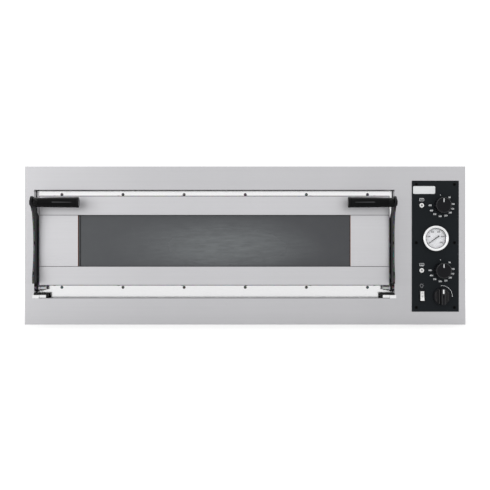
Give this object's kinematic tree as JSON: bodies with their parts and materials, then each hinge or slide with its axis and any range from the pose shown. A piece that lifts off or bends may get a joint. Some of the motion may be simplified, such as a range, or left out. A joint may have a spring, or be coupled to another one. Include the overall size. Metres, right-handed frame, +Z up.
{
  "type": "deck oven",
  "caption": "Single-deck electric baking oven with a bottom-hinged glazed door held by bow-shaped side levers, hearth stones, and a control panel of turning knobs, gauge and rocker",
  "frame": {"origin": "middle of the underside of the cabinet, without the levers and the flue", "axes": "X to the right seen from the front, Y from the front to the back, Z up; the front faces -Y"},
  "size_m": [1.15, 1.071, 0.413],
  "materials": {
    "front_steel": "satin",
    "bright_steel": "polished",
    "cabinet_steel": "satin",
    "chamber_steel": "satin",
    "hearth_stone": "matte",
    "heater_steel": "matte",
    "mineral_wool": "matte",
    "tinted_glass": "gloss",
    "clear_glass": "gloss",
    "gasket_silicone": "matte",
    "pad_rubber": "matte",
    "black_overlay": "satin",
    "black_plastic": "satin",
    "switch_plastic": "matte",
    "white_plastic": "gloss",
    "black_steel": "satin",
    "zinc_steel": "satin",
    "dial_white": "matte",
    "needle_black": "matte",
    "plate_white": "satin",
    "capillary_copper": "satin"
  },
  "bodies": {
    "cabinet": {"front_panel": "front_steel", "chamber_frame": "bright_steel", "gauge_case": "bright_steel", "left_side_panel": "cabinet_steel", "right_side_panel": "cabinet_steel", "top_cover": "cabinet_steel", "back_panel": "cabinet_steel", "base_pan": "cabinet_steel", "divider_panel": "cabinet_steel", "chamber_shell": "chamber_steel", "chamber_supports": "chamber_steel", "lamp_housing": "chamber_steel", "flue_collar": "chamber_steel", "hearth_stones": "hearth_stone", "lower_elements": "heater_steel", "upper_elements": "heater_steel", "insulation_wrap": "mineral_wool", "back_insulation": "mineral_wool", "lamp_glass": "clear_glass", "gauge_glass": "clear_glass", "stop_pads": "pad_rubber", "control_panel": "black_overlay", "rocker_housing": "black_plastic", "cable_gland": "black_plastic", "top_thermostat": "switch_plastic", "bottom_thermostat": "switch_plastic", "selector_switch": "switch_plastic", "terminal_block": "switch_plastic", "pilot_lamps": "white_plastic", "control_screws": "black_steel", "hinge_pins": "zinc_steel", "hinge_brackets": "zinc_steel", "door_stops": "zinc_steel", "door_springs": "zinc_steel", "panel_screws": "zinc_steel", "leg_inserts": "zinc_steel", "gauge_dial": "dial_white", "name_plate": "plate_white", "capillary_tubes": "capillary_copper"},
    "door": {"door_frame": "front_steel", "door_inner_panel": "chamber_steel", "side_plates": "bright_steel", "outer_glass": "tinted_glass", "inner_glass": "clear_glass", "glass_gasket": "gasket_silicone", "door_insulation": "mineral_wool", "left_arm": "black_steel", "right_arm": "black_steel", "arm_bolts": "zinc_steel", "arm_spacers": "zinc_steel", "door_grips": "black_plastic", "door_screws": "zinc_steel"},
    "top_heat_control": {"top_heat_knob": "black_plastic", "top_heat_shaft": "zinc_steel"},
    "bottom_heat_control": {"bottom_heat_knob": "black_plastic", "bottom_heat_shaft": "zinc_steel"},
    "selector_control": {"selector_knob": "black_plastic", "selector_shaft": "zinc_steel"},
    "light_key": {"light_rocker": "white_plastic"},
    "gauge_pointer": {"gauge_needle": "needle_black"}
  },
  "joints": [
    {"name": "door_hinge", "type": "hinge", "parent": "cabinet", "child": "door", "pos_m": [-0.0805, -0.465, 0.0957], "axis": [1, 0, 0], "range_deg": [0, 90], "stiffness_Nm_per_rad": 3, "springref_deg": -57.3},
    {"name": "top_heat_turn", "type": "hinge", "parent": "cabinet", "child": "top_heat_control", "pos_m": [0.5123, -0.477, 0.311], "axis": [0, 1, 0], "range_deg": [0, 270]},
    {"name": "bottom_heat_turn", "type": "hinge", "parent": "cabinet", "child": "bottom_heat_control", "pos_m": [0.5123, -0.477, 0.1414], "axis": [0, 1, 0], "range_deg": [0, 270]},
    {"name": "selector_turn", "type": "hinge", "parent": "cabinet", "child": "selector_control", "pos_m": [0.5123, -0.477, 0.0738], "axis": [0, 1, 0], "range_deg": [0, 90]},
    {"name": "light_rock", "type": "hinge", "parent": "cabinet", "child": "light_key", "pos_m": [0.462, -0.476, 0.0746], "axis": [1, 0, 0], "range_deg": [0, 20]},
    {"name": "needle_swing", "type": "hinge", "parent": "cabinet", "child": "gauge_pointer", "pos_m": [0.4962, -0.477, 0.225], "axis": [0, 1, 0], "range_deg": [0, 252]}
  ]
}
